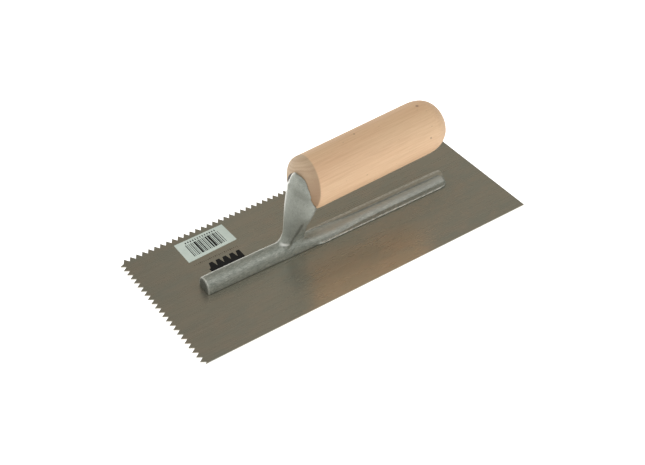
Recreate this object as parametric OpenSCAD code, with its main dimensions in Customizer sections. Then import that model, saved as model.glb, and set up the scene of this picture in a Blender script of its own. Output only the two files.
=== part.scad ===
// Notched trowel: a thin steel blade with V-notches along one long and one short edge,
// riveted under a cast aluminium mounting that carries a turned beech handle.
// Millimetres. X runs from the notched short edge to the plain one, Y towards the
// notched long edge, Z up. The origin is the middle of the blade's underside.

/* [Blade] */
// Length of the blade, along X
blade_l = 280; // [240:1:360]
// Width of the blade, along Y
blade_w = 114; // [100:1:130]
// Thickness of the blade's sheet
blade_t = 0.7; // [0.6:0.1:1.2]
// Distance from one notch to the next
notch_pitch = 4.79; // [4:0.01:6]
// Depth of a V-notch
notch_depth = 3.75; // [2:0.05:4.5]
// Distance from the notched corner to the first tip on the short edge
short_first_tip = 5.15; // [4:0.05:6]
// Distance from the notched corner to the first tip on the long edge
long_first_tip = 5.68; // [4:0.01:6]

/* [Mounting] */
// Distance from the blade's notched short edge to the bar's front end
bar_start = 35.5; // [30:0.5:40]
// Half width of the bar's foot flange behind the neck
flange_half_w = 9; // [7.5:0.1:10]
// How far the foot flange sits off the bar's centre line, towards the notched long edge
flange_shift = 0.8; // [0:0.1:1.5]
// Thickness of the foot flange
flange_t = 1.5; // [1:0.1:2]
// Gap between the neck's pad and the handle's front dome
pad_gap = 0.2; // [0.2:0.1:0.6]
// Radius of the tang inside the handle
tang_r = 5; // [4:0.1:6]
// Length of the tang behind the handle's front shoulder
tang_l = 42; // [30:1:60]

/* [Handle] */
// Length of the handle from the front dome's tip to the rear end
handle_l = 126.9; // [115:0.1:140]
// Radius of the handle at its front shoulder
handle_front_r = 19.3; // [17:0.1:21]
// Radius of the handle near its rear end
handle_rear_r = 19.8; // [17:0.1:21]
// Depth of the domed front end
front_dome = 9.6; // [8:0.1:12]
// Length of the rounded rear end
rear_dome = 21.1; // [14:0.1:24]
// Upward tilt of the handle towards the rear, in degrees
handle_tilt = 3.1; // [1:0.1:5]
// Height of the handle's axis above the blade's underside, at the front shoulder
handle_z = 56.5; // [54:0.5:59]

/* [Fasteners] */
// Number of rivets between the blade and the bar
rivet_n = 8; // [5:1:10]
// Radius of a rivet's shank
rivet_r = 2; // [1.5:0.1:2.2]
// Radius of a rivet's flush head at the blade's underside
rivet_head_r = 3.2; // [2.5:0.1:3.5]
// Length of a rivet's shank above the blade
rivet_grip = 2.8; // [2:0.1:3]
// Radius of the handle bolt's shank
bolt_r = 3; // [2.5:0.5:3.5]

/* [Label] */
// Length of the paper label
label_l = 40.4; // [30:0.1:50]
// Width of the paper label
label_w = 20.6; // [15:0.1:25]
// Thickness of the paper label
label_t = 0.1; // [0.05:0.05:0.2]

/* [Hidden] */
$fn = 64;

// ---- blade outline ----
long_n = floor((blade_l - long_first_tip) / notch_pitch) + 1;
short_n = floor((blade_w - short_first_tip) / notch_pitch) + 1;
// How far the saw-tooth edge lies inside the blade's rectangle, a distance u past a tip
function drop(u) = let(f = u / notch_pitch - floor(u / notch_pitch))
    2 * notch_depth * min(f, 1 - f);
function long_tip(k) = [-blade_l / 2 + long_first_tip + k * notch_pitch, blade_w / 2];
function short_tip(k) = [-blade_l / 2, blade_w / 2 - short_first_tip - k * notch_pitch];
long_valley = [-notch_pitch / 2, -notch_depth];
short_valley = [notch_depth, -notch_pitch / 2];
long_left = blade_l / 2 - long_tip(long_n - 1)[0];
short_left = blade_w / 2 + short_tip(short_n - 1)[1];
long_edge = [for (k = [long_n - 1:-1:0]) each [long_tip(k), long_tip(k) + long_valley]];
short_edge = [for (k = [0:short_n - 2]) each [short_tip(k), short_tip(k) + short_valley]];
blade_outline = concat(
    [[blade_l / 2, -blade_w / 2], [blade_l / 2, blade_w / 2 - drop(long_left)]],
    long_edge,
    short_edge,
    [short_tip(short_n - 1)],
    short_left > notch_pitch / 2 ? [short_tip(short_n - 1) + short_valley] : [],
    [[-blade_l / 2 + drop(short_left), -blade_w / 2]]);

// ---- lofted casting ----
// Catmull-Rom value between b and c
function blend(a, b, c, d, t) = b + t * (c - a) / 2 + t * t * (2 * a - 5 * b + 4 * c - d) / 2
    + t * t * t * (3 * b - a - 3 * c + d) / 2;
function clamped(rows, i) = rows[max(0, min(len(rows) - 1, i))];
function row_at(rows, u) = let(i = floor(u), t = u - i)
    [for (k = [0:len(rows[0]) - 1])
        blend(clamped(rows, i - 1)[k], clamped(rows, i)[k], clamped(rows, i + 1)[k],
              clamped(rows, i + 2)[k], t)];
function step(s, lo, hi) = let(f = max(0, min(1, (s - lo) / (hi - lo)))) f * f * (3 - 2 * f);

// Bar sections from the toe end to the heel end: [x, half width, height, fullness]
bar_base = -blade_l / 2 + bar_start;
bar_rows = [
    [bar_base, 4.9, 9.3, 2.2],
    [bar_base + 0.8, 5.8, 10.2, 2.3],
    [bar_base + 2.2, 6.4, 10.7, 2.4],
    [bar_base + 28, 6.5, 10.8, 2.5],
    [bar_base + 58, 6.7, 10.6, 2.5],
    [bar_base + 76, 7, 9.6, 2.4],
    [bar_base + 90, 7, 7, 2.3],
    [bar_base + 106, 6.8, 5.8, 2.3],
    [bar_base + 118, 6.2, 5.3, 1.9],
    [bar_base + 132, 5.7, 5, 1.55],
    [bar_base + 168, 5.4, 4.7, 1.5],
    [bar_base + 202.5, 5.2, 4.3, 1.5],
    [bar_base + 210, 5, 4.1, 1.6],
    [bar_base + 211.5, 4.5, 3.6, 1.8]];
bar_end = bar_base + 217.3;
bar_arc = 20;
bar_steps = 3;
function bar_section(r) = [for (i = [0:bar_arc])
    let(th = 180 * i / bar_arc, c = cos(th), s = sin(th))
    [r[0], r[1] * sign(c) * pow(abs(c), 2 / r[3]), blade_t + r[2] * pow(abs(s), 2 / r[3])]];

// Neck sections from the bar to the handle's front dome, the middle drifting off the bar's line:
// [front x, front z, rear x, rear z, front half width, rear half width, middle y, crease place]
neck_rows = [
    [-49, 4.6, -23, 3.6, 6.3, 3.6, 0, 0.35],
    [-44.5, 10.2, -22.5, 6.6, 6.4, 3.3, 0, 0.35],
    [-41.2, 13.1, -21.6, 9.6, 6.7, 3.1, -0.1, 0.35],
    [-39, 17.6, -19.9, 14.6, 7, 3.1, -0.2, 0.37],
    [-37.9, 23.6, -19, 20.6, 8.8, 4.2, -0.4, 0.47],
    [-36.9, 30.6, -18.2, 28.1, 11.2, 6.4, -0.9, 0.58],
    [-35.8, 37, -17.3, 34, 13.3, 9, -1.5, 0.6],
    [-34.8, 43, -16.2, 38.5, 14.1, 12.3, -1.6, 0.6],
    [-33.8, 49, -14.7, 42, 14.3, 13.6, -1.3, 0.6],
    [-33.1, 54, -12.5, 44.5, 14.5, 13.5, -1.2, 0.6],
    [-33.1, 59, -10.5, 47, 14.6, 13, -1.8, 0.6],
    [-32.7, 63, -9, 50, 14, 12.4, -2.4, 0.6],
    [-31.8, 67.2, -8, 54, 11.8, 10.8, -2.6, 0.6],
    [-30.9, 69.4, -8, 58, 8.8, 8.6, -2.7, 0.6],
    [-30.5, 70.1, -8, 59, 5.2, 6, -2.8, 0.6]];
crease_spread = 0.14;
neck_arc = 32;
neck_steps = 2;
function neck_section(r) = [for (i = [0:neck_arc - 1])
    let(t = 360 * i / neck_arc, s = (1 - cos(t)) / 2,
        m = step(s, r[7] - crease_spread, r[7] + crease_spread))
    [r[0] + (r[2] - r[0]) * s, r[6] - sin(t) * (r[4] + (r[5] - r[4]) * m), r[1] + (r[3] - r[1]) * s]];

// One closed solid through a list of sections that all have the same number of points
module loft(sections) {
    n = len(sections[0]);
    last = len(sections) - 1;
    sides = [for (j = [0:last - 1], i = [0:n - 1])
        let(a = j * n + i, b = j * n + (i + 1) % n)
        each [[b, a, b + n], [b + n, a, a + n]]];
    caps = [[for (i = [0:n - 1]) i], [for (i = [n - 1:-1:0]) last * n + i]];
    polyhedron(points = [for (s = sections) each s], faces = concat(sides, caps), convexity = 6);
}
function loft_rows(rows, steps) = [for (j = [0:(len(rows) - 1) * steps]) row_at(rows, j / steps)];

// ---- handle ----
shoulder_x = -21.9;
shoulder_round = 7.4;
cap_r = (handle_front_r * handle_front_r + front_dome * front_dome) / (2 * front_dome);
cap_z = cap_r - front_dome;
crease_angle = asin((handle_front_r - shoulder_round) / (cap_r - shoulder_round));
crease_z = cap_z - (cap_r - shoulder_round) * cos(crease_angle);
barrel_l = handle_l - front_dome - rear_dome;
rear_fullness = 2.64;
dome_steps = 12;
rear_steps = 18;
handle_profile = concat(
    [for (i = [0:dome_steps]) let(a = crease_angle * i / dome_steps)
        [cap_r * sin(a), cap_z - cap_r * cos(a)]],
    [for (i = [1:dome_steps]) let(a = crease_angle + (90 - crease_angle) * i / dome_steps)
        [handle_front_r - shoulder_round + shoulder_round * sin(a), crease_z - shoulder_round * cos(a)]],
    [for (i = [0:rear_steps]) let(a = 90 * i / rear_steps)
        [handle_rear_r * pow(cos(a), 2 / rear_fullness),
         barrel_l + rear_dome * pow(sin(a), 2 / rear_fullness)]]);
handle_end = handle_l - front_dome;
recess_r = 7.5;
recess_depth = 12;
recess_z = handle_end - recess_depth;
bolt_clear = 0.25;
tang_gap = 1;
tang_root = 1.2;
washer_t = 1.2;
washer_r = 6.8;
bolt_head_r = 5.8;
bolt_head_h = 4;
thread_depth = 27;
bolt_tip_gap = 2;
cut = 1;

// Puts its children on the handle's axis: their Z runs from the front shoulder to the rear
module on_handle_axis() {
    translate([shoulder_x, 0, handle_z]) rotate([0, 90 - handle_tilt, 0]) children();
}

label_x = -78.5;
label_y = 39.9;
label_turn = 1.5;

rivet_front_margin = 8.5;
rivet_rear_margin = 12.8;
rivet_pitch = (bar_end - bar_base - rivet_front_margin - rivet_rear_margin) / (rivet_n - 1);
function rivet_x(i) = bar_base + rivet_front_margin + i * rivet_pitch;

// ---- sub-parts ----
module rivet(i) {
    color("silver") translate([rivet_x(i), 0, 0]) {
        cylinder(h = blade_t, r1 = rivet_head_r, r2 = rivet_r);
        translate([0, 0, blade_t]) cylinder(h = rivet_grip, r = rivet_r);
    }
}

module blade() {
    color("dimgray") difference() {
        linear_extrude(height = blade_t) polygon(blade_outline);
        for (i = [0:rivet_n - 1]) {
            translate([rivet_x(i), 0, 0]) cylinder(h = blade_t, r1 = rivet_head_r, r2 = rivet_r);
        }
    }
}

module flange() {
    taper_x = -22;
    full_x = -10;
    taper_half_w = 6;
    far_corner = 2.5;
    near_corner = 8;
    near_back = 3.8;
    translate([0, flange_shift, blade_t]) linear_extrude(height = flange_t) hull() {
        polygon([[taper_x, -taper_half_w], [full_x, -flange_half_w],
                 [full_x, flange_half_w], [taper_x, taper_half_w]]);
        translate([bar_end - far_corner, flange_half_w - far_corner]) circle(r = far_corner);
        translate([bar_end - near_back - near_corner, near_corner - flange_half_w]) circle(r = near_corner);
    }
}

module turned_wood() {
    rotate_extrude() polygon(concat([[0, 0]], handle_profile));
}

module mounting() {
    color("darkgray") difference() {
        union() {
            loft([for (r = loft_rows(bar_rows, bar_steps)) bar_section(r)]);
            flange();
            difference() {
                loft([for (r = loft_rows(neck_rows, neck_steps)) neck_section(r)]);
                on_handle_axis() translate([0, 0, -pad_gap]) turned_wood();
            }
            on_handle_axis() translate([0, 0, -front_dome - tang_root])
                cylinder(h = front_dome + tang_root + tang_l, r = tang_r);
        }
        on_handle_axis() translate([0, 0, tang_l - thread_depth])
            cylinder(h = thread_depth + cut, r = bolt_r);
        for (i = [0:rivet_n - 1]) {
            translate([rivet_x(i), 0, blade_t - cut]) cylinder(h = rivet_grip + cut, r = rivet_r);
        }
    }
}

module handle() {
    color("burlywood") on_handle_axis() difference() {
        turned_wood();
        translate([0, 0, -front_dome - cut])
            cylinder(h = front_dome + cut + tang_l + tang_gap, r = tang_r);
        cylinder(h = handle_end, r = bolt_r + bolt_clear);
        translate([0, 0, recess_z]) cylinder(h = recess_depth + cut, r = recess_r);
    }
}

module bolt_washer() {
    color("silver") on_handle_axis() translate([0, 0, recess_z]) difference() {
        cylinder(h = washer_t, r = washer_r);
        translate([0, 0, -cut]) cylinder(h = washer_t + 2 * cut, r = bolt_r + bolt_clear);
    }
}

module handle_bolt() {
    tip_z = tang_l - thread_depth + bolt_tip_gap;
    head_z = recess_z + washer_t;
    color("gainsboro") on_handle_axis() {
        translate([0, 0, tip_z]) cylinder(h = head_z - tip_z + bolt_head_h / 2, r = bolt_r);
        translate([0, 0, head_z]) cylinder(h = bolt_head_h, r = bolt_head_r, $fn = 6);
    }
}

module label() {
    color("honeydew") translate([label_x, label_y, blade_t]) rotate([0, 0, label_turn])
        translate([-label_l / 2, -label_w / 2, 0]) cube([label_l, label_w, label_t]);
}

blade();
mounting();
handle();
handle_bolt();
bolt_washer();
label();
for (i = [0:rivet_n - 1]) {
    rivet(i);
}
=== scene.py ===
"""Notched trowel: the looks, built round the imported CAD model."""

import math
import random

import bmesh
import bpy
from mathutils import Matrix, Vector


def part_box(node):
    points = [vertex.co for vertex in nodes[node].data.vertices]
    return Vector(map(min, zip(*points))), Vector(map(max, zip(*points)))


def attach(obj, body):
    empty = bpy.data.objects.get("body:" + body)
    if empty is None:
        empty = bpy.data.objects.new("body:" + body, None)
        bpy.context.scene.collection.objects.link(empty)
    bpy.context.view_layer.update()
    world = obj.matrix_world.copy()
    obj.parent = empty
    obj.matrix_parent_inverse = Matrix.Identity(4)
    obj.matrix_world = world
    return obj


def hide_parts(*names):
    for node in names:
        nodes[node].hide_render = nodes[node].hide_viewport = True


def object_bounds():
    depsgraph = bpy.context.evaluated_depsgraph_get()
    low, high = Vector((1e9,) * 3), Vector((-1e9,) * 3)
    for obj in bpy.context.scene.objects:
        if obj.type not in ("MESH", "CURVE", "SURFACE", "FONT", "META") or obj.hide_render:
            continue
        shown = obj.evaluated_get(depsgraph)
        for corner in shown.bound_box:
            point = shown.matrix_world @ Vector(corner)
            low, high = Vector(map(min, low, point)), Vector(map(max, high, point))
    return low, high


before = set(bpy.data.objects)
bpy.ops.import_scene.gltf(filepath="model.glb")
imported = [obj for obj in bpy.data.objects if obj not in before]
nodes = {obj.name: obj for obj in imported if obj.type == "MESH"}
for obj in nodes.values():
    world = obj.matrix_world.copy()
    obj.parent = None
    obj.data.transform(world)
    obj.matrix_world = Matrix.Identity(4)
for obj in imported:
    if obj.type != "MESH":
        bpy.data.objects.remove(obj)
cad_low, cad_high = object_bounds()

MM = 0.001

# ---- camera ----
CAMERA_PLACE = Vector((-0.3658, -0.4713, 0.53652))
CAMERA_HEADING = math.radians(37.44)
CAMERA_DROP = math.radians(41.94)
CAMERA_ROLL = math.radians(2.21)
CAMERA_LENS = 62.09
CAMERA_SENSOR = 36
CAMERA_NEAR = 0.01
CAMERA_FAR = 20

# ---- handle, as in the CAD: millimetres, in the handle's own frame ----
SHOULDER = Vector((-21.9, 0, 56.5)) * MM
HANDLE_TILT = math.radians(3.1)
FRONT_R = 19.3
REAR_R = 19.8
FRONT_DOME = 9.6
REAR_DOME = 21.1
REAR_FULLNESS = 2.64
HANDLE_LENGTH = 126.9
SHOULDER_ROUND = 7.4
BORE_R = 3.25
TANG_BORE_R = 5
TANG_BORE_DEPTH = 43
RECESS_R = 7.5
RECESS_DEPTH = 12
RECESS_CORNER = 0.3
# the recess's rounded lip: (beyond its radius, beyond the handle's end)
RECESS_LIP = [(0.5, 0.0), (0.15, -0.15), (0.0, -0.6)]
LIP_RISE = 0.25
# the rear dome's rows stop this far outside the recess
LIP_MARGIN = 0.8
# rows of the turned outline, and faces round it
CAP_STEPS = 14
ROUND_STEPS = 16
BARREL_STEPS = 24
REAR_STEPS = 49
HANDLE_FACES = 160

# ---- wood: millimetres, in the handle's own frame ----
# small dark knots: (place, radius)
KNOTS = [((-19.7, 1.2, 98.4), 1.5), ((-5.4, -19.0, 95.3), 0.9), ((-19.2, 3.3, 44.5), 0.9)]
# the middle of the tree's rings
PITH_DOWN = 46.0
PITH_SIDE = -24.0
PITH_WANDER = 10.0
# the end grain starts on a plane a little off square to the axis
END_LEAN_SIDE = -0.10
END_LEAN_DOWN = 0.13
# where the painted shadow in the gap beside the casting's pad lies, as a dark line on the front dome
PAD_SHADOW_SIDE = -2.4
PAD_SHADOW_DOWN = 3.4
PAD_SHADOW_HALF_W = 12.2
PAD_SHADOW_HALF_H = 16.4

# ---- casting: millimetres ----
SKIN = 0.42
EDGE_PASSES = 12
FILLET_PASSES = 60
SMOOTH_FACTOR = 0.5
FILLET_PLACE = Vector((-43, 0, 12))
FILLET_REACH = 12
NECK_FOOT = (-40.5, -3.4, 12.2)
# the painted shade along the crease up the neck: (height, side) and (height, along)
CREASE_SHADE_SIDE = [(12.5, -5.6), (21.8, -7.8), (33.4, -12.2)]
CREASE_SHADE_ALONG = [(12.5, -36.4), (21.8, -33.0), (33.4, -31.3)]

# ---- blade ----
BLADE_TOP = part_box("blade")[1].z

# ---- label and print: millimetres in plan, metres in thickness ----
LABEL_CORNERS = [(-98.8, 28.7), (-58.1, 30.8), (-58.7, 50.4), (-98.7, 49.7)]
PAPER_T = 0.00010
INK_T = 0.00002
# generic bars: (place along the label, width in millimetres)
BARS = [(0.17, 0.5), (0.20, 0.3), (0.235, 0.3), (0.27, 0.5), (0.30, 0.3), (0.345, 1.1), (0.375, 0.4),
        (0.405, 0.4), (0.435, 0.7), (0.47, 0.3), (0.505, 0.5), (0.535, 0.3), (0.575, 0.9), (0.625, 1.3),
        (0.66, 0.4), (0.69, 0.3), (0.725, 0.8), (0.755, 0.4), (0.79, 0.5), (0.83, 0.3)]
BAR_SPREAD = 1.3
BAR_SPAN = (0.14, 0.78)
# small marks above the bars, as shares of the label
MARKS = 13
MARK_START = 0.19
MARK_STEP = 0.05
MARK_WIDTH = 0.02
MARK_SPAN = (0.83, 0.91)
# the saw-tooth band
BAND_TEETH = 5
BAND_LEFT = -90.4
BAND_RIGHT = -62.7
BAND_FOOT = 12.0
BAND_ROOT = 15.6
BAND_TIP = 20.9
TOOTH_FLAT = 0.5
TOOTH_BACK = 0.78
# the row of ticks
TICKS = 24
TICK_START = -97
TICK_PITCH = 1.52
TICK_FOOT = 23.9
TICK_HEIGHT = 0.7
TICK_EXTRA_HEIGHT = 0.7
TICK_WIDTH = 0.3
TICK_EXTRA_WIDTH = 0.5
TICK_SEED = 4

# ---- bevels of the CAD parts: millimetres ----
BLADE_BEVEL = 0.08
BOLT_BEVEL = 0.25
RIVET_BEVEL = 0.05
BEVEL_SEGMENTS = 2
BEVEL_ANGLE = math.radians(35)

# ---- stage ----
FLOOR_HALF = 6
FLOOR_DROP = 0.0002
FLOOR_WHITE = (0.92, 0.92, 0.92, 1)
FLOOR_ROUGHNESS = 0.9
FLOOR_GLOW = 0.85
# directions in which the room changes
AHEAD = (0.45, 0.59, 0.67)
LEFT = (-0.85, 0.42, 0.32)
FAR = (-0.2, 0.98, 0)
ROOM = (0.42, 0.42, 0.42)
ROOM_LEFT = (0.85, 0.85, 0.83)
ROOM_AHEAD = (0.36, 0.335, 0.285)
ROOM_FAR_LOW = (1.3, 1.3, 1.3)


def make_camera():
    data = bpy.data.cameras.new("camera")
    data.lens = CAMERA_LENS
    data.sensor_width = CAMERA_SENSOR
    data.clip_start = CAMERA_NEAR
    data.clip_end = CAMERA_FAR
    camera = bpy.data.objects.new("camera", data)
    bpy.context.scene.collection.objects.link(camera)
    flat = math.cos(CAMERA_DROP)
    aim = Vector((flat * math.sin(CAMERA_HEADING), flat * math.cos(CAMERA_HEADING), -math.sin(CAMERA_DROP)))
    turn = aim.to_track_quat("-Z", "Y").to_matrix() @ Matrix.Rotation(CAMERA_ROLL, 3, "Z")
    camera.matrix_world = Matrix.Translation(CAMERA_PLACE) @ turn.to_4x4()
    bpy.context.scene.camera = camera


# ---- node helpers ----
def new_material(name):
    material = bpy.data.materials.new(name)
    material.use_nodes = True
    tree = material.node_tree
    return material, tree, tree.nodes["Principled BSDF"]


def add(tree, kind, inputs=None, **settings):
    made = tree.nodes.new("ShaderNode" + kind)
    for key, value in settings.items():
        setattr(made, key, value)
    for key, value in (inputs or {}).items():
        if isinstance(value, bpy.types.NodeSocket):
            tree.links.new(value, made.inputs[key])
        else:
            made.inputs[key].default_value = value
    return made


def own_axes(tree):
    """The shaded point's X, Y and Z in its object's own frame, metres."""
    where = add(tree, "TexCoord").outputs["Object"]
    return tuple(add(tree, "SeparateXYZ", {0: where}).outputs)


def noise(tree, vector, detail, rough, distortion=0.0):
    made = add(tree, "TexNoise", {"Vector": vector, "Scale": 1.0, "Detail": detail,
                                  "Roughness": rough, "Distortion": distortion})
    return made.outputs["Fac"]


def grain(tree, stretch, detail, rough, offset=(0, 0, 0), distortion=0.0):
    """Noise in the object's own frame, its features one over stretch millimetres long per axis."""
    where = add(tree, "TexCoord").outputs["Object"]
    scale = [s / MM for s in stretch]
    spot = add(tree, "Mapping", {"Vector": where, "Scale": scale, "Location": offset}).outputs[0]
    return noise(tree, spot, detail, rough, distortion)


def remap(tree, value, low, high, to_low=0.0, to_high=1.0):
    made = add(tree, "MapRange", {"Value": value, "From Min": low, "From Max": high,
                                  "To Min": to_low, "To Max": to_high})
    return made.outputs[0]


def ramp(tree, value, low, high, to_low=0.0, to_high=1.0):
    """remap with its limits in millimetres."""
    return remap(tree, value, low * MM, high * MM, to_low, to_high)


def calc(tree, operation, first, second=0.0):
    return add(tree, "Math", {0: first, 1: second}, operation=operation).outputs[0]


def times(tree, first, *others):
    for other in others:
        first = calc(tree, "MULTIPLY", first, other)
    return first


def squares(tree, *parts):
    """The sum of the parts' squares."""
    total = calc(tree, "MULTIPLY", parts[0], parts[0])
    for part in parts[1:]:
        total = calc(tree, "ADD", total, calc(tree, "MULTIPLY", part, part))
    return total


def gap_to(tree, axes, place):
    """How far the shaded point is from one place given in millimetres."""
    offs = [calc(tree, "SUBTRACT", axis, middle * MM) for axis, middle in zip(axes, place)]
    return calc(tree, "SQRT", squares(tree, *offs))


def track(tree, value, stops):
    """Straight runs between (value, result) stops given in millimetres."""
    total = stops[0][1] * MM
    for (low, start), (high, finish) in zip(stops, stops[1:]):
        total = calc(tree, "ADD", ramp(tree, value, low, high, 0, (finish - start) * MM), total)
    return total


def paint(color):
    """A socket as it is, or red, green and blue with full alpha."""
    return color if isinstance(color, bpy.types.NodeSocket) else (*color, 1)


def mix(tree, factor, first, second, blend="MIX"):
    made = add(tree, "Mix", {0: factor, 6: paint(first), 7: paint(second)},
               data_type="RGBA", blend_type=blend)
    return made.outputs[2]


def shade_by(tree, color, value):
    """The colour made darker or lighter by a plain factor."""
    grey = add(tree, "CombineColor", {0: value, 1: value, 2: value}).outputs[0]
    return mix(tree, 1.0, color, grey, "MULTIPLY")


def bump(tree, height, distance, strength, under=None):
    """Bump with its distance in millimetres, over another bump if one is given."""
    made = add(tree, "Bump", {"Height": height, "Distance": distance * MM, "Strength": strength})
    if under:
        tree.links.new(under, made.inputs["Normal"])
    return made.outputs[0]


def finish_material(tree, shader, color, roughness, normal, **constants):
    tree.links.new(color, shader.inputs["Base Color"])
    tree.links.new(roughness, shader.inputs["Roughness"])
    tree.links.new(normal, shader.inputs["Normal"])
    for key, value in constants.items():
        shader.inputs[key.replace("_", " ")].default_value = value


# ---- steel ----
STEEL_WARM = (0.42, 0.395, 0.325)
STEEL_COOL = (0.38, 0.38, 0.325)
STEEL_STAIN = (0.443, 0.397, 0.325)
# how much the streaks and specks darken and lighten it
STEEL_SHADES = (0.965, 1.03)
# it darkens to this towards the notched end, between these places along the blade
STEEL_TOE_SHADE = 0.84
STEEL_TOE_SPAN = (-140, -50)


def steel_material():
    """Brushed sheet steel, clouded brown and grey, a little darker towards its notched end."""
    material, tree, shader = new_material("blade_steel")
    clouds = grain(tree, (0.012, 0.05, 0.05), 3, 0.55)
    patches = grain(tree, (0.05, 0.11, 0.11), 4, 0.65, (7, 3, 0))
    streaks = grain(tree, (0.02, 1.3, 1.3), 4, 0.65)
    hairs = grain(tree, (0.06, 7, 7), 2, 0.6)
    specks = grain(tree, (0.9, 1.6, 1.6), 2, 0.6, (2, 6, 0))
    color = mix(tree, remap(tree, clouds, 0.35, 0.65), STEEL_WARM, STEEL_COOL)
    color = mix(tree, remap(tree, patches, 0.42, 0.7), color, STEEL_STAIN)
    color = shade_by(tree, color, remap(tree, streaks, 0.3, 0.7, *STEEL_SHADES))
    color = shade_by(tree, color, remap(tree, specks, 0.3, 0.7, *STEEL_SHADES))
    color = shade_by(tree, color, ramp(tree, own_axes(tree)[0], *STEEL_TOE_SPAN, STEEL_TOE_SHADE, 1.0))
    roughness = remap(tree, streaks, 0.3, 0.7, 0.26, 0.32)
    normal = bump(tree, streaks, 0.004, 0.4, bump(tree, hairs, 0.003, 0.25))
    finish_material(tree, shader, color, roughness, normal, Metallic=0.85)
    return material


# ---- cast aluminium: each mask says where a wear colour, a painted highlight, painted shade or a painted reflection lies on the casting ----
CAST_DARK = (0.22, 0.24, 0.207)
CAST_LIGHT = (0.32, 0.335, 0.292)
CAST_RAISED = (0.33, 0.34, 0.305)
# painted reflection of the blade's colour on the flange's far flat top
CAST_FOOT_REFLECTION = (0.40, 0.372, 0.30)
# painted highlight on the rib's ridge, and painted shade on its far side
CAST_RIDGE_HIGHLIGHT = (0.56, 0.56, 0.51)
CAST_SHADE = (0.09, 0.09, 0.075)
# painted highlight on the flange's outer edges
CAST_LIP_HIGHLIGHT = (0.78, 0.78, 0.72)
# painted dark reflection on the bar's front end face, and a painted highlight on its rim
CAST_END_REFLECTION = (0.08, 0.08, 0.068)
CAST_RIM_HIGHLIGHT = (0.66, 0.66, 0.60)
# painted shade in the casting's hollows, found by pointiness
CAST_HOLLOW_SHADE = (0.07, 0.07, 0.055)
# painted shade in the crease up the neck
CAST_CREASE_SHADE = (0.08, 0.08, 0.065)
# painted highlight on the far edge of the neck and bar
CAST_EDGE_HIGHLIGHT = (0.86, 0.86, 0.80)
# painted highlight on the fillet at the neck's foot
CAST_FILLET_HIGHLIGHT = (0.95, 0.95, 0.90)
SCRATCH_LIGHT = (0.60, 0.60, 0.54)
SCRATCH_DARK = (0.09, 0.095, 0.08)
GRIT = (0.48, 0.49, 0.44)
# how much smoother the edges under the painted highlight are
EDGE_GLOSS = 0.18


def foot_reflection_mask(tree, along, side, height):
    """A painted reflection of the blade's colour on the flange's flat top, on the rib's far side."""
    flat = times(tree, ramp(tree, height, 2.35, 2.15), ramp(tree, height, 1.7, 2.0))
    return times(tree, flat, ramp(tree, along, -22, -12), ramp(tree, side, 1.0, 3.0))


def rib_masks(tree, along, height, facing):
    """A painted highlight along the rib's ridge, and painted shade on its far side."""
    rib = times(tree, ramp(tree, along, -22, -6), ramp(tree, height, 2.4, 3.2))
    ridge = times(tree, remap(tree, facing, -0.8, -0.35, 0.25, 1), remap(tree, facing, 0.3, 0.05))
    shade = times(tree, rib, remap(tree, facing, 0.3, 0.55, 0, 0.75))
    return times(tree, rib, ridge, 0.65), shade


def lip_highlight_mask(tree, side, height, scratches):
    """A painted highlight along the flange's outer edges, broken up by the scratch noise."""
    near = ramp(tree, side, -7.0, -7.7)
    far = ramp(tree, side, 7.3, 7.8, 0, 0.6)
    band = times(tree, ramp(tree, height, 0.9, 1.4), ramp(tree, height, 2.6, 2.4))
    return times(tree, calc(tree, "MAXIMUM", near, far), band, remap(tree, scratches, 0.42, 0.56, 0, 0.9))


def toe_masks(tree, along, grit):
    """A painted dark reflection on the bar's front end face, and a painted highlight on the rim round it."""
    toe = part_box("mounting")[0].x / MM
    end = ramp(tree, along, toe + 0.2, toe + 0.6, 0.75, 0)
    rim = times(tree, ramp(tree, along, toe + 0.3, toe + 0.7), ramp(tree, along, toe + 1.7, toe + 0.9))
    return end, times(tree, rim, remap(tree, grit, 0.35, 0.55, 0.15, 0.8))


def crease_shade_mask(tree, along, side, height):
    """Painted shade in the crease that climbs the neck's near side."""
    off_side = calc(tree, "SUBTRACT", side, track(tree, height, CREASE_SHADE_SIDE))
    off_along = calc(tree, "SUBTRACT", along, track(tree, height, CREASE_SHADE_ALONG))
    off = calc(tree, "SQRT", squares(tree, off_side, off_along))
    span = times(tree, ramp(tree, height, 36, 31), ramp(tree, height, 11, 12))
    return times(tree, ramp(tree, off, 1.7, 0.4, 0, 0.65), span)


def edge_highlight_mask(tree, along, facing, grit):
    """A painted highlight on the far edge of the neck and of the bar's front part."""
    turned_away = remap(tree, facing, 0.28, 0.55, 0, 0.9)
    return times(tree, turned_away, remap(tree, grit, 0.3, 0.55, 0.6, 1.0), ramp(tree, along, -14, -22))


def fillet_highlight_mask(tree, axes):
    """A small painted highlight on the fillet where the neck stands on the bar."""
    height = axes[2]
    spot = ramp(tree, gap_to(tree, axes, NECK_FOOT), 4.4, 1.2)
    return times(tree, spot, ramp(tree, height, 13.2, 12.3), ramp(tree, height, 10.9, 11.6, 0, 0.7))


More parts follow.
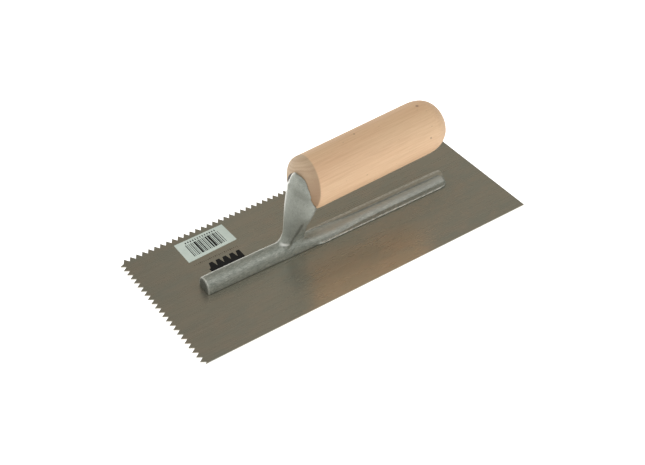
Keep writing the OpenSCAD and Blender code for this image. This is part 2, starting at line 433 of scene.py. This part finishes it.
def casting_material():
    """Dull cast alloy: mottled and scratched along, with painted shade in its hollows and painted highlights
    on its edges.
    """
    material, tree, shader = new_material("cast_aluminium")
    lumps = grain(tree, (0.10, 0.2, 0.2), 3, 0.55)
    patches = grain(tree, (0.32, 0.5, 0.5), 4, 0.6, (3, 9, 1))
    grit = grain(tree, (1.2, 2.2, 2.2), 3, 0.6)
    scratches = grain(tree, (0.3, 3.2, 3.2), 2, 0.5, (0, 5, 2), 0.6)
    axes = own_axes(tree)
    along, side, height = axes
    surface = add(tree, "NewGeometry")
    facing = add(tree, "SeparateXYZ", {0: surface.outputs["Normal"]}).outputs[1]
    ridge, shade = rib_masks(tree, along, height, facing)
    end, rim = toe_masks(tree, along, grit)
    edge = edge_highlight_mask(tree, along, facing, grit)
    color = mix(tree, remap(tree, patches, 0.35, 0.65), CAST_DARK, CAST_LIGHT)
    # each layer lies over the ones before it
    layers = [
        (remap(tree, scratches, 0.58, 0.70, 0, 0.75), SCRATCH_LIGHT),
        (remap(tree, scratches, 0.38, 0.30, 0, 0.75), SCRATCH_DARK),
        (remap(tree, grit, 0.4, 0.7, 0, 0.35), GRIT),
        (ramp(tree, height, 12, 26, 0, 0.45), CAST_RAISED),
        (foot_reflection_mask(tree, along, side, height), CAST_FOOT_REFLECTION),
        (ridge, CAST_RIDGE_HIGHLIGHT),
        (shade, CAST_SHADE),
        (lip_highlight_mask(tree, side, height, scratches), CAST_LIP_HIGHLIGHT),
        (end, CAST_END_REFLECTION),
        (rim, CAST_RIM_HIGHLIGHT),
        # painted shade in the hollows
        (remap(tree, surface.outputs["Pointiness"], 0.488, 0.462, 0, 0.8), CAST_HOLLOW_SHADE),
        (crease_shade_mask(tree, along, side, height), CAST_CREASE_SHADE),
        (edge, CAST_EDGE_HIGHLIGHT),
        (fillet_highlight_mask(tree, axes), CAST_FILLET_HIGHLIGHT),
    ]
    for mask, layer in layers:
        color = mix(tree, mask, color, layer)
    roughness = remap(tree, patches, 0.3, 0.7, 0.58, 0.46)
    roughness = calc(tree, "SUBTRACT", roughness, calc(tree, "MULTIPLY", edge, EDGE_GLOSS))
    normal = bump(tree, lumps, 0.25, 0.6)
    normal = bump(tree, patches, 0.10, 0.6, normal)
    normal = bump(tree, grit, 0.035, 0.5, normal)
    finish_material(tree, shader, color, roughness, normal, Metallic=0.6)
    return material


# ---- beech ----
BEECH_PALE = (0.745, 0.515, 0.315)
BEECH_BLUSH = (0.73, 0.46, 0.275)
BEECH_RING = (0.56, 0.335, 0.185)
BEECH_FIBRE = (0.54, 0.325, 0.185)
BEECH_FINE_DARK = (0.57, 0.36, 0.21)
BEECH_FINE_LIGHT = (0.82, 0.62, 0.42)
BEECH_FLECK = (0.24, 0.13, 0.09)
BEECH_KNOT = (0.20, 0.10, 0.08)
END_LIGHT = (0.57, 0.427, 0.285)
END_DARK = (0.315, 0.20, 0.116)
END_RING = (0.37, 0.24, 0.15)
END_PORE = (0.30, 0.19, 0.12)
# painted shadow in the gap beside the casting's pad
GAP_SHADOW = (0.03, 0.025, 0.02)
# the ring noise's stretch across the rings, per millimetre, and along the handle, per metre
RING_STRETCH = 0.5
RING_DRIFT = 4.0


def ring_pattern(tree, down, side, along):
    """The tree's rings round a pith outside the handle."""
    wander = grain(tree, (0.03, 0.03, 0.006), 2, 0.5)
    pith_down = calc(tree, "ADD", calc(tree, "MULTIPLY", down, 1 / MM), -PITH_DOWN)
    pith_side = calc(tree, "ADD", calc(tree, "MULTIPLY", side, 1 / MM), -PITH_SIDE)
    radius = calc(tree, "SQRT", squares(tree, pith_down, pith_side))
    radius = calc(tree, "ADD", radius, calc(tree, "MULTIPLY", wander, PITH_WANDER))
    spot = add(tree, "CombineXYZ", {0: calc(tree, "MULTIPLY", radius, RING_STRETCH),
                                    2: calc(tree, "MULTIPLY", along, RING_DRIFT)}).outputs[0]
    return noise(tree, spot, 3, 0.6)


def end_grain(tree, down, side, rings):
    """The front dome's colour: lighter at its upper far side, darker low and near."""
    pores = grain(tree, (1.8, 1.8, 1.8), 3, 0.65, (5, 5, 5))
    low_side = calc(tree, "ADD", calc(tree, "MULTIPLY", down, 0.5), calc(tree, "MULTIPLY", side, -1.0))
    end = mix(tree, ramp(tree, low_side, -8, 16), END_LIGHT, END_DARK)
    end = mix(tree, remap(tree, rings, 0.45, 0.66, 0, 0.65), end, END_RING)
    return mix(tree, remap(tree, pores, 0.45, 0.75, 0, 0.4), end, END_PORE)


def end_mask(tree, down, side, along):
    """Where the end grain shows: the whole front dome, and the rear dome faintly."""
    lean = calc(tree, "ADD", calc(tree, "MULTIPLY", side, END_LEAN_SIDE),
                calc(tree, "MULTIPLY", down, END_LEAN_DOWN))
    front = ramp(tree, calc(tree, "ADD", along, lean), 2.1, 1.1, 0.0, 0.92)
    rear = ramp(tree, along, 104, 112, 0.0, 0.22)
    return calc(tree, "MAXIMUM", front, rear)


def gap_shadow_mask(tree, down, side, along):
    """Painted shadow in the gap beside the casting's pad, on its far side."""
    pad_side = calc(tree, "DIVIDE", calc(tree, "SUBTRACT", side, PAD_SHADOW_SIDE * MM), PAD_SHADOW_HALF_W * MM)
    pad_down = calc(tree, "DIVIDE", calc(tree, "SUBTRACT", down, PAD_SHADOW_DOWN * MM), PAD_SHADOW_HALF_H * MM)
    inside = remap(tree, squares(tree, pad_side, pad_down), 1.0, 0.93, 0, 0.93)
    return times(tree, inside, ramp(tree, along, 0, -1), ramp(tree, side, 1.5, 3.5))


def beech_material():
    """Turned beech in the handle's own frame: Z along it, the domes showing end grain."""
    material, tree, shader = new_material("beech")
    axes = own_axes(tree)
    down, side, along = axes
    rings = ring_pattern(tree, down, side, along)
    fibres = grain(tree, (1.1, 1.1, 0.03), 4, 0.65)
    fine = grain(tree, (3.2, 3.2, 0.1), 3, 0.65, (4, 1, 7))
    fleck = grain(tree, (1.2, 1.2, 0.35), 2, 0.5, (2, 8, 3))
    blush = grain(tree, (0.05, 0.05, 0.012), 2, 0.5, (1, 2, 5))
    color = mix(tree, remap(tree, blush, 0.35, 0.65, 0, 0.6), BEECH_PALE, BEECH_BLUSH)
    # each layer lies over the ones before it
    layers = [
        (remap(tree, rings, 0.45, 0.72, 0, 0.28), BEECH_RING),
        (remap(tree, fibres, 0.46, 0.72, 0, 0.42), BEECH_FIBRE),
        (remap(tree, fine, 0.46, 0.75, 0, 0.34), BEECH_FINE_DARK),
        (remap(tree, fine, 0.42, 0.25, 0, 0.35), BEECH_FINE_LIGHT),
        (remap(tree, fleck, 0.735, 0.77, 0, 0.75), BEECH_FLECK),
    ]
    for place, size in KNOTS:
        layers.append((ramp(tree, gap_to(tree, axes, place), size, 0.4 * size, 0, 0.7), BEECH_KNOT))
    layers.append((end_mask(tree, down, side, along), end_grain(tree, down, side, rings)))
    layers.append((gap_shadow_mask(tree, down, side, along), GAP_SHADOW))
    for mask, layer in layers:
        color = mix(tree, mask, color, layer)
    roughness = remap(tree, fine, 0.3, 0.7, 0.5, 0.64)
    normal = bump(tree, fibres, 0.05, 0.5)
    normal = bump(tree, fine, 0.02, 0.5, normal)
    finish_material(tree, shader, color, roughness, normal)
    return material


# ---- paper, ink and fasteners ----
PAPER_LIGHT = (0.71, 0.80, 0.74)
PAPER_DARK = (0.61, 0.71, 0.65)
PAPER_FIBRE = (0.55, 0.62, 0.60)


def paper_material():
    material, tree, shader = new_material("label_paper")
    clouds = grain(tree, (0.08, 0.08, 0.08), 3, 0.6)
    fibre = grain(tree, (2, 2, 2), 3, 0.6)
    color = mix(tree, remap(tree, clouds, 0.3, 0.7), PAPER_LIGHT, PAPER_DARK)
    color = mix(tree, remap(tree, fibre, 0.45, 0.8, 0, 0.25), color, PAPER_FIBRE)
    roughness = remap(tree, fibre, 0.3, 0.7, 0.5, 0.65)
    finish_material(tree, shader, color, roughness, bump(tree, fibre, 0.02, 0.4))
    return material


def ink_material(name, dark, worn):
    material, tree, shader = new_material(name)
    wear = grain(tree, (0.9, 2.5, 2), 4, 0.65)
    color = mix(tree, remap(tree, wear, 0.6, 0.72, 0, 0.6), dark, worn)
    roughness = remap(tree, wear, 0.3, 0.7, 0.5, 0.7)
    finish_material(tree, shader, color, roughness, bump(tree, wear, 0.01, 0.4), Specular_IOR_Level=0.15)
    return material


def fastener_material(name, bright, dull):
    material, tree, shader = new_material(name)
    turned = grain(tree, (0.6, 5, 5), 3, 0.6)
    stains = grain(tree, (0.3, 0.3, 0.3), 3, 0.6, (1, 4, 2))
    color = mix(tree, remap(tree, stains, 0.35, 0.65), bright, dull)
    roughness = remap(tree, turned, 0.3, 0.7, 0.25, 0.40)
    finish_material(tree, shader, color, roughness, bump(tree, turned, 0.01, 0.5), Metallic=1.0)
    return material


# ---- pieces ----
def new_piece(name, bm, material, smooth=False):
    bmesh.ops.recalc_face_normals(bm, faces=bm.faces)
    mesh = bpy.data.meshes.new(name)
    bm.to_mesh(mesh)
    bm.free()
    mesh.materials.append(material)
    if smooth:
        mesh.shade_smooth()
    piece = bpy.data.objects.new(name, mesh)
    bpy.context.scene.collection.objects.link(piece)
    return piece


def restyle(node, material):
    nodes[node].data.materials.clear()
    nodes[node].data.materials.append(material)
    for face in nodes[node].data.polygons:
        face.material_index = 0


def bevel(piece, width):
    rounded = piece.modifiers.new("edges", "BEVEL")
    rounded.width = width * MM
    rounded.segments = BEVEL_SEGMENTS
    rounded.limit_method = "ANGLE"
    rounded.angle_limit = BEVEL_ANGLE
    rounded.harden_normals = False


def handle_outline():
    """Closed outline to turn: (radius, distance along the axis from the shoulder), millimetres."""
    cap_r = (FRONT_R ** 2 + FRONT_DOME ** 2) / (2 * FRONT_DOME)
    cap_z = cap_r - FRONT_DOME
    reach = (FRONT_R - SHOULDER_ROUND) / (cap_r - SHOULDER_ROUND)
    crease = math.asin(reach)
    crease_z = cap_z - (cap_r - SHOULDER_ROUND) * math.cos(crease)
    end = HANDLE_LENGTH - FRONT_DOME
    barrel = end - REAR_DOME
    start = math.asin(TANG_BORE_R / cap_r)
    rows = []
    for i in range(CAP_STEPS + 1):
        a = start + (crease - start) * i / CAP_STEPS
        rows.append((cap_r * math.sin(a), cap_z - cap_r * math.cos(a)))
    for i in range(1, ROUND_STEPS + 1):
        a = crease + (math.pi / 2 - crease) * i / ROUND_STEPS
        rows.append((FRONT_R - SHOULDER_ROUND * (1 - math.sin(a)), crease_z - SHOULDER_ROUND * math.cos(a)))
    for i in range(1, BARREL_STEPS):
        f = i / BARREL_STEPS
        rows.append((FRONT_R + (REAR_R - FRONT_R) * f, crease_z + (barrel - crease_z) * f))
    for i in range(REAR_STEPS):
        a = math.pi / 2 * i / REAR_STEPS
        r = REAR_R * math.cos(a) ** (2 / REAR_FULLNESS)
        if r > RECESS_R + LIP_MARGIN:
            rows.append((r, barrel + REAR_DOME * math.sin(a) ** (2 / REAR_FULLNESS)))
    lip_z = rows[-1][1] + LIP_RISE
    floor_z = end - RECESS_DEPTH
    rows += [(RECESS_R + out, lip_z + back) for out, back in RECESS_LIP]
    rows += [(RECESS_R, floor_z + RECESS_CORNER), (RECESS_R - RECESS_CORNER, floor_z),
             (BORE_R, floor_z), (BORE_R, TANG_BORE_DEPTH), (TANG_BORE_R, TANG_BORE_DEPTH)]
    return rows


def make_handle(material):
    bm = bmesh.new()
    turns = [2 * math.pi * k / HANDLE_FACES for k in range(HANDLE_FACES)]
    loops = []
    for radius, along in handle_outline():
        loops.append([bm.verts.new(Vector((radius * math.cos(t), radius * math.sin(t), along)) * MM)
                      for t in turns])
    for first, second in zip(loops, loops[1:] + loops[:1]):
        for k in range(HANDLE_FACES):
            after = (k + 1) % HANDLE_FACES
            bm.faces.new((first[k], first[after], second[after], second[k]))
    piece = new_piece("handle_wood", bm, material, smooth=True)
    turn = Matrix.Rotation(math.pi / 2 - HANDLE_TILT, 4, "Y")
    piece.matrix_world = Matrix.Translation(SHOULDER) @ turn
    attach(piece, "root")
    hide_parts("handle")


def soften(piece, name, passes, group=None):
    smooth = piece.modifiers.new(name, "SMOOTH")
    smooth.factor = SMOOTH_FACTOR
    smooth.iterations = passes
    if group:
        smooth.vertex_group = group


def even_skin(node):
    """A copy of a node's mesh, remeshed with small even faces."""
    rough = bpy.data.objects.new("rough", nodes[node].data.copy())
    bpy.context.scene.collection.objects.link(rough)
    remesh = rough.modifiers.new("skin", "REMESH")
    remesh.mode = "VOXEL"
    remesh.voxel_size = SKIN * MM
    graph = bpy.context.evaluated_depsgraph_get()
    mesh = bpy.data.meshes.new_from_object(rough.evaluated_get(graph))
    bpy.data.objects.remove(rough)
    return mesh


def make_mounting(material):
    """The casting: the CAD shape with a fine even skin, small radii, and a fillet where the neck stands."""
    mesh = even_skin("mounting")
    mesh.name = "cast_mounting"
    mesh.materials.clear()
    mesh.materials.append(material)
    mesh.shade_smooth()
    piece = bpy.data.objects.new("cast_mounting", mesh)
    bpy.context.scene.collection.objects.link(piece)
    fillet = piece.vertex_groups.new(name="fillet")
    for vertex in mesh.vertices:
        away = (vertex.co / MM - FILLET_PLACE).length / FILLET_REACH
        if away < 1:
            fillet.add([vertex.index], min(1, 2 - 2 * away), "REPLACE")
    soften(piece, "edges", EDGE_PASSES)
    soften(piece, "fillet", FILLET_PASSES, "fillet")
    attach(piece, "root")
    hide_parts("mounting")


def slab(bm, corners, bottom, thickness):
    """A flat closed piece over a polygon, millimetres in plan and metres in height."""
    low = [bm.verts.new((x * MM, y * MM, bottom)) for x, y in corners]
    high = [bm.verts.new((x * MM, y * MM, bottom + thickness)) for x, y in corners]
    bm.faces.new(high)
    bm.faces.new(low[::-1])
    for i in range(len(corners)):
        j = (i + 1) % len(corners)
        bm.faces.new((low[i], low[j], high[j], high[i]))


def on_label(u, v):
    """A point of the label: u along its length, v across it towards the notches."""
    a, b, c, d = [Vector(p) for p in LABEL_CORNERS]
    return tuple((a.lerp(b, u)).lerp(d.lerp(c, u), v))


def label_mark(bm, left, right, span):
    foot, top = span
    corners = [on_label(left, foot), on_label(right, foot), on_label(right, top), on_label(left, top)]
    slab(bm, corners, BLADE_TOP + PAPER_T, INK_T)


def make_label(paper, ink):
    """A paper label with generic bars and marks."""
    bm = bmesh.new()
    slab(bm, LABEL_CORNERS, BLADE_TOP, PAPER_T)
    sheet = new_piece("label_sheet", bm, paper)
    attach(sheet, "root")
    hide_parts("label")
    bm = bmesh.new()
    length = LABEL_CORNERS[1][0] - LABEL_CORNERS[0][0]
    for place, width in BARS:
        half = BAR_SPREAD * width / 2 / length
        label_mark(bm, place - half, place + half, BAR_SPAN)
    for i in range(MARKS):
        left = MARK_START + i * MARK_STEP
        label_mark(bm, left, left + MARK_WIDTH, MARK_SPAN)
    bars = new_piece("label_bars", bm, ink)
    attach(bars, "root")


def make_band(ink):
    """A plain saw-tooth band printed on the blade."""
    pitch = (BAND_RIGHT - BAND_LEFT) / BAND_TEETH
    corners = [(BAND_LEFT, BAND_FOOT), (BAND_RIGHT, BAND_FOOT)]
    for i in range(BAND_TEETH):
        x = BAND_RIGHT - i * pitch
        corners += [(x, BAND_TIP), (x - TOOTH_FLAT * pitch, BAND_TIP), (x - TOOTH_BACK * pitch, BAND_ROOT)]
    corners.append((BAND_LEFT, BAND_ROOT))
    bm = bmesh.new()
    slab(bm, corners, BLADE_TOP, INK_T)
    band = new_piece("printed_band", bm, ink)
    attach(band, "root")


def make_ticks(faint):
    """A row of small uneven ticks printed on the blade."""
    chance = random.Random(TICK_SEED)
    bm = bmesh.new()
    for i in range(TICKS):
        left = TICK_START + i * TICK_PITCH
        top = TICK_FOOT + TICK_HEIGHT + TICK_EXTRA_HEIGHT * chance.random()
        right = left + TICK_WIDTH + TICK_EXTRA_WIDTH * chance.random()
        slab(bm, [(left, TICK_FOOT), (right, TICK_FOOT), (right, top), (left, top)], BLADE_TOP, INK_T)
    ticks = new_piece("printed_ticks", bm, faint)
    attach(ticks, "root")


# ---- stage ----
def make_floor():
    mesh = bpy.data.meshes.new("floor")
    bm = bmesh.new()
    bmesh.ops.create_grid(bm, x_segments=1, y_segments=1, size=FLOOR_HALF)
    bm.to_mesh(mesh)
    bm.free()
    material, tree, shader = new_material("pale_floor")
    shader.inputs["Base Color"].default_value = FLOOR_WHITE
    shader.inputs["Roughness"].default_value = FLOOR_ROUGHNESS
    shader.inputs["Emission Color"].default_value = (1, 1, 1, 1)
    shader.inputs["Emission Strength"].default_value = FLOOR_GLOW
    mesh.materials.append(material)
    floor = bpy.data.objects.new("floor", mesh)
    bpy.context.scene.collection.objects.link(floor)
    floor.location.z = cad_low.z - FLOOR_DROP


def softbox(name, place, target, size, power):
    data = bpy.data.lights.new(name, "AREA")
    data.shape = "RECTANGLE"
    data.size, data.size_y = size
    data.energy = power
    lamp = bpy.data.objects.new(name, data)
    bpy.context.scene.collection.objects.link(lamp)
    lamp.location = place
    aim = Vector(target) - Vector(place)
    lamp.rotation_euler = aim.to_track_quat("-Z", "Y").to_euler()


def towards(tree, way, direction):
    """How far a way of looking turns towards a direction."""
    return add(tree, "VectorMath", {0: way, 1: direction}, operation="DOT_PRODUCT").outputs["Value"]


def make_light():
    """A room that is dim where the flat steel looks and paler elsewhere, with two softboxes."""
    world = bpy.data.worlds.new("studio")
    bpy.context.scene.world = world
    world.use_nodes = True
    tree = world.node_tree
    way = add(tree, "TexCoord").outputs["Generated"]
    height = add(tree, "SeparateXYZ", {0: way}).outputs[2]
    left = remap(tree, towards(tree, way, LEFT), 0.35, 0.85)
    ahead = remap(tree, towards(tree, way, AHEAD), 0.45, 0.9)
    sweep = times(tree, remap(tree, height, 0.28, 0.08), remap(tree, towards(tree, way, FAR), 0.1, 0.6))
    tint = mix(tree, left, ROOM, ROOM_LEFT)
    tint = mix(tree, ahead, tint, ROOM_AHEAD)
    tint = mix(tree, sweep, tint, ROOM_FAR_LOW)
    tree.links.new(tint, tree.nodes["Background"].inputs["Color"])
    softbox("key", place=(0.45, -0.95, 0.75), target=(0, 0, 0.03), size=(0.9, 0.8), power=3.7)
    softbox("overhead", place=(-0.15, 0.05, 1.3), target=(0, 0, 0), size=(0.9, 0.7), power=3.1)


make_camera()
make_floor()
make_light()
bpy.context.scene.view_settings.view_transform = "Standard"

steel = steel_material()
ink = ink_material("ink", (0.012, 0.012, 0.012), (0.05, 0.045, 0.04))
faint_ink = ink_material("faint_ink", (0.10, 0.08, 0.06), (0.16, 0.14, 0.11))
zinc = fastener_material("zinc_steel", (0.68, 0.69, 0.70), (0.52, 0.53, 0.54))
rivet_steel = fastener_material("rivet_steel", (0.48, 0.46, 0.42), (0.38, 0.37, 0.34))

restyle("blade", steel)
bevel(nodes["blade"], BLADE_BEVEL)
make_mounting(casting_material())
make_handle(beech_material())
make_label(paper_material(), ink)
make_band(ink)
make_ticks(faint_ink)
for name in ("handle_bolt", "bolt_washer"):
    restyle(name, zinc)
    bevel(nodes[name], BOLT_BEVEL)
for name in nodes:
    if name.startswith("rivet_"):
        restyle(name, rivet_steel)
        bevel(nodes[name], RIVET_BEVEL)
